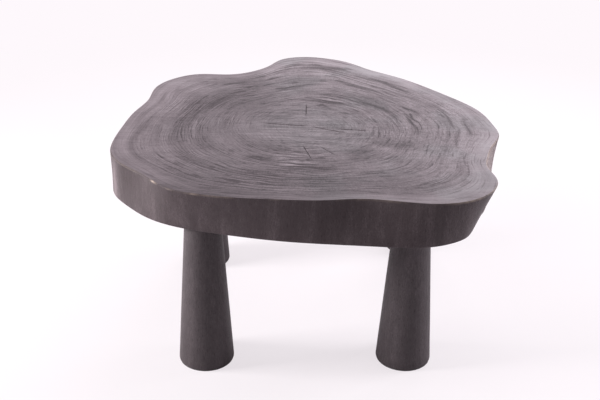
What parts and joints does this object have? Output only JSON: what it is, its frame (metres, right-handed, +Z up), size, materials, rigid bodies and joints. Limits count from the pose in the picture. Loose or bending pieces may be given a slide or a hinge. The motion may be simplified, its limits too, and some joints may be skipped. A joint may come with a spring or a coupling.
{
  "type": "coffee table",
  "caption": "Low coffee table: a thick free-edged slice of trunk, stained dark, on turned conical legs that widen towards the floor.",
  "frame": {"origin": "on the floor, below the middle of the slab's bounding box", "axes": "+X to the notched side, on the right in the picture; +Y to the back lobe, along the slab's longest extent; +Z up"},
  "size_m": [0.85, 0.9059, 0.42],
  "materials": {
    "slab_wood": "dark grey-brown stain, matt, with raised growth rings",
    "leg_wood": "near-black stain, matt, with fine upright grain",
    "fastener_steel": "zinc-plated fasteners",
    "pad_felt": "dark felt"
  },
  "bodies": {
    "root": {"slab_top": "slab_wood", "thread_inserts": "fastener_steel", "felt_pads": "pad_felt", "leg_front_left": "leg_wood", "hanger_bolt_front_left": "fastener_steel", "leg_front_right": "leg_wood", "hanger_bolt_front_right": "fastener_steel", "leg_back_left": "leg_wood", "hanger_bolt_back_left": "fastener_steel", "leg_back_right": "leg_wood", "hanger_bolt_back_right": "fastener_steel"}
  },
  "joints": []
}
